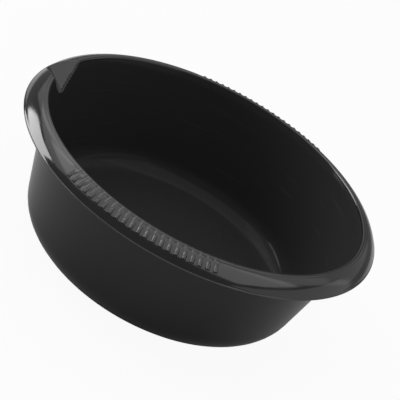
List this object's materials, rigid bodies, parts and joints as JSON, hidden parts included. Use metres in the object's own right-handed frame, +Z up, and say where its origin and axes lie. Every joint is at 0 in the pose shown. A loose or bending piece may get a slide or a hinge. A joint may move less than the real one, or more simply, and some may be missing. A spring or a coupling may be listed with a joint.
{
  "type": "hair color mixing bowl",
  "caption": "Round black plastic mixing bowl for hair color, with a turned-over rim, ribbed grip stretches, a V-shaped pouring lip and a rubber ring under its foot.",
  "frame": {"origin": "middle of the bowl on the surface that it stands on", "axes": "+Z up along the bowl's round axis; the pouring lip points to -X, 3.5 degrees off towards -Y, and the two ribbed grip stretches are centred on -Y and +Y"},
  "size_m": [0.14, 0.14, 0.0485],
  "materials": {
    "bowl_plastic": "black polypropylene, moulded to a soft gloss",
    "grip_rubber": "matte black rubber"
  },
  "bodies": {
    "root": {"bowl_shell": "bowl_plastic", "base_grip_ring": "grip_rubber"}
  },
  "joints": []
}
